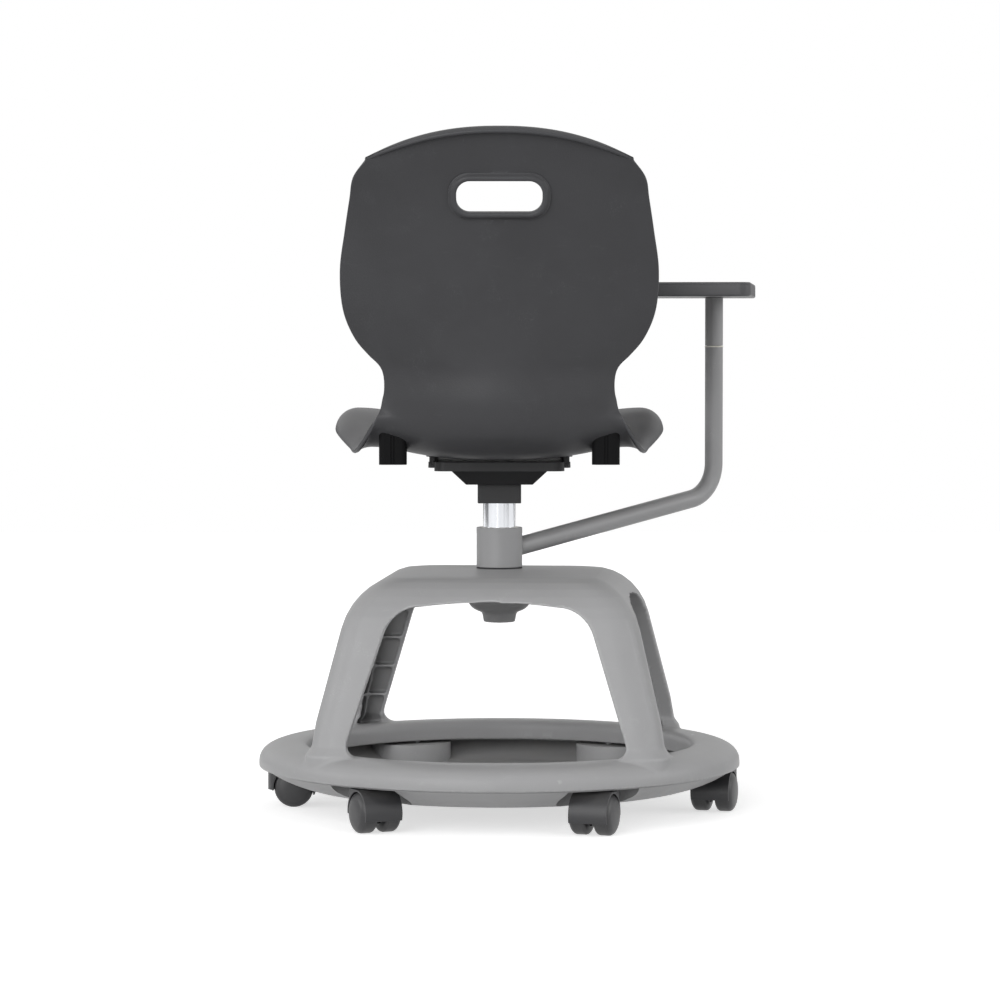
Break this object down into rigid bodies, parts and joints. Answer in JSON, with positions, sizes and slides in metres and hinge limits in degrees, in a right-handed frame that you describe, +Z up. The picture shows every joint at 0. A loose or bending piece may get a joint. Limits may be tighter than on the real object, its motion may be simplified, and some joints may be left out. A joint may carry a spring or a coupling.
{
  "type": "tablet arm chair",
  "caption": "Swivel school chair with a one-piece shell, a writing tablet on a bent arm, and an arched base with a bag tray and castors.",
  "frame": {"origin": "on the floor, under the axis of the column", "axes": "+Z up along the column, +Y towards the front of the seat, the way the sitter faces, +X towards the sitter's right, where the arm stands"},
  "size_m": [0.6072, 0.6458, 0.7913],
  "materials": {
    "shell_plastic": "fine grained charcoal polypropylene",
    "black_plastic": "satin black moulding",
    "frame_plastic": "satin silver grey moulding",
    "tray_plastic": "satin silver grey moulding",
    "castor_plastic": "satin dark moulding",
    "wheel_plastic": "satin dark nylon",
    "nylon": "natural nylon",
    "tablet_board": "charcoal grained board",
    "arm_paint": "silver grey powder coat",
    "black_paint": "satin black powder coat",
    "chrome": "polished",
    "zinc_steel": "zinc plated"
  },
  "bodies": {
    "base": {"base_frame": "frame_plastic", "storage_tray": "tray_plastic", "tray_screws": "zinc_steel", "hub_insert": "zinc_steel", "hub_bush": "nylon", "thrust_washer": "black_plastic", "castor_sockets": "nylon"},
    "seat": {"seat_shell": "shell_plastic", "rear_sockets": "black_plastic", "front_sockets": "black_plastic", "seat_plate": "black_paint", "plate_bolts": "black_paint", "bolt_spacers": "black_paint", "swivel_bracket": "black_paint", "column_collar": "black_plastic", "swivel_tube": "chrome", "column_spindle": "zinc_steel", "retaining_clip": "zinc_steel"},
    "arm": {"arm_collar": "arm_paint", "collar_bush_upper": "nylon", "collar_bush_lower": "nylon", "arm_tube": "arm_paint", "arm_pivot_pin": "zinc_steel", "arm_joint_washer": "nylon"},
    "tablet": {"tablet_post": "arm_paint", "tablet_plate": "black_paint", "tablet_screws": "zinc_steel", "tablet_top": "tablet_board"},
    "castor_1": {"castor_1_stem": "zinc_steel", "castor_1_hood": "castor_plastic", "castor_1_axle": "zinc_steel"},
    "castor_1_left": {"castor_1_wheel_left": "wheel_plastic"},
    "castor_1_right": {"castor_1_wheel_right": "wheel_plastic"},
    "castor_2": {"castor_2_stem": "zinc_steel", "castor_2_hood": "castor_plastic", "castor_2_axle": "zinc_steel"},
    "castor_2_left": {"castor_2_wheel_left": "wheel_plastic"},
    "castor_2_right": {"castor_2_wheel_right": "wheel_plastic"},
    "castor_3": {"castor_3_stem": "zinc_steel", "castor_3_hood": "castor_plastic", "castor_3_axle": "zinc_steel"},
    "castor_3_left": {"castor_3_wheel_left": "wheel_plastic"},
    "castor_3_right": {"castor_3_wheel_right": "wheel_plastic"},
    "castor_4": {"castor_4_stem": "zinc_steel", "castor_4_hood": "castor_plastic", "castor_4_axle": "zinc_steel"},
    "castor_4_left": {"castor_4_wheel_left": "wheel_plastic"},
    "castor_4_right": {"castor_4_wheel_right": "wheel_plastic"},
    "castor_5": {"castor_5_stem": "zinc_steel", "castor_5_hood": "castor_plastic", "castor_5_axle": "zinc_steel"},
    "castor_5_left": {"castor_5_wheel_left": "wheel_plastic"},
    "castor_5_right": {"castor_5_wheel_right": "wheel_plastic"},
    "castor_6": {"castor_6_stem": "zinc_steel", "castor_6_hood": "castor_plastic", "castor_6_axle": "zinc_steel"},
    "castor_6_left": {"castor_6_wheel_left": "wheel_plastic"},
    "castor_6_right": {"castor_6_wheel_right": "wheel_plastic"}
  },
  "joints": [
    {"name": "seat_swivel", "type": "hinge", "parent": "base", "child": "seat", "pos_m": [0, 0, 0.26], "axis": [0, 0, 1], "continuous": true},
    {"name": "arm_swing", "type": "hinge", "parent": "seat", "child": "arm", "pos_m": [0, 0, 0.31], "axis": [0, 0, 1], "range_deg": [-40, 60]},
    {"name": "tablet_swivel", "type": "hinge", "parent": "arm", "child": "tablet", "pos_m": [0.26477, 0.20686, 0.545], "axis": [0, 0, 1], "range_deg": [-100, 15]},
    {"name": "castor_1_swivel", "type": "hinge", "parent": "base", "child": "castor_1", "pos_m": [0.25621, -0.02016, 0.06], "axis": [0, 0, 1], "continuous": true},
    {"name": "castor_1_left_roll", "type": "hinge", "parent": "castor_1", "child": "castor_1_left", "pos_m": [0.25276, -0.03218, 0.023], "axis": [0.9613, -0.2756, 0], "continuous": true},
    {"name": "castor_1_right_roll", "type": "hinge", "parent": "castor_1", "child": "castor_1_right", "pos_m": [0.25276, -0.03218, 0.023], "axis": [0.9613, -0.2756, 0], "continuous": true},
    {"name": "castor_2_swivel", "type": "hinge", "parent": "base", "child": "castor_2", "pos_m": [0.14557, 0.2118, 0.06], "axis": [0, 0, 1], "continuous": true},
    {"name": "castor_2_left_roll", "type": "hinge", "parent": "castor_2", "child": "castor_2_left", "pos_m": [0.13665, 0.22056, 0.023], "axis": [-0.7009, -0.7133, 0], "continuous": true},
    {"name": "castor_2_right_roll", "type": "hinge", "parent": "castor_2", "child": "castor_2_right", "pos_m": [0.13665, 0.22056, 0.023], "axis": [-0.7009, -0.7133, 0], "continuous": true},
    {"name": "castor_3_swivel", "type": "hinge", "parent": "base", "child": "castor_3", "pos_m": [-0.11064, 0.23196, 0.06], "axis": [0, 0, 1], "continuous": true},
    {"name": "castor_3_left_roll", "type": "hinge", "parent": "castor_3", "child": "castor_3_left", "pos_m": [-0.10356, 0.24227, 0.023], "axis": [-0.8241, 0.5664, 0], "continuous": true},
    {"name": "castor_3_right_roll", "type": "hinge", "parent": "castor_3", "child": "castor_3_right", "pos_m": [-0.10356, 0.24227, 0.023], "axis": [-0.8241, 0.5664, 0], "continuous": true},
    {"name": "castor_4_swivel", "type": "hinge", "parent": "base", "child": "castor_4", "pos_m": [-0.25621, 0.02016, 0.06], "axis": [0, 0, 1], "continuous": true},
    {"name": "castor_4_left_roll", "type": "hinge", "parent": "castor_4", "child": "castor_4_left", "pos_m": [-0.24371, 0.02016, 0.023], "axis": [0, 1, 0], "continuous": true},
    {"name": "castor_4_right_roll", "type": "hinge", "parent": "castor_4", "child": "castor_4_right", "pos_m": [-0.24371, 0.02016, 0.023], "axis": [0, 1, 0], "continuous": true},
    {"name": "castor_5_swivel", "type": "hinge", "parent": "base", "child": "castor_5", "pos_m": [-0.14557, -0.2118, 0.06], "axis": [0, 0, 1], "continuous": true},
    {"name": "castor_5_left_roll", "type": "hinge", "parent": "castor_5", "child": "castor_5_left", "pos_m": [-0.14009, -0.22304, 0.023], "axis": [0.8988, 0.4384, 0], "continuous": true},
    {"name": "castor_5_right_roll", "type": "hinge", "parent": "castor_5", "child": "castor_5_right", "pos_m": [-0.14009, -0.22304, 0.023], "axis": [0.8988, 0.4384, 0], "continuous": true},
    {"name": "castor_6_swivel", "type": "hinge", "parent": "base", "child": "castor_6", "pos_m": [0.11064, -0.23196, 0.06], "axis": [0, 0, 1], "continuous": true},
    {"name": "castor_6_left_roll", "type": "hinge", "parent": "castor_6", "child": "castor_6_left", "pos_m": [0.10637, -0.24371, 0.023], "axis": [0.9397, -0.342, 0], "continuous": true},
    {"name": "castor_6_right_roll", "type": "hinge", "parent": "castor_6", "child": "castor_6_right", "pos_m": [0.10637, -0.24371, 0.023], "axis": [0.9397, -0.342, 0], "continuous": true}
  ]
}
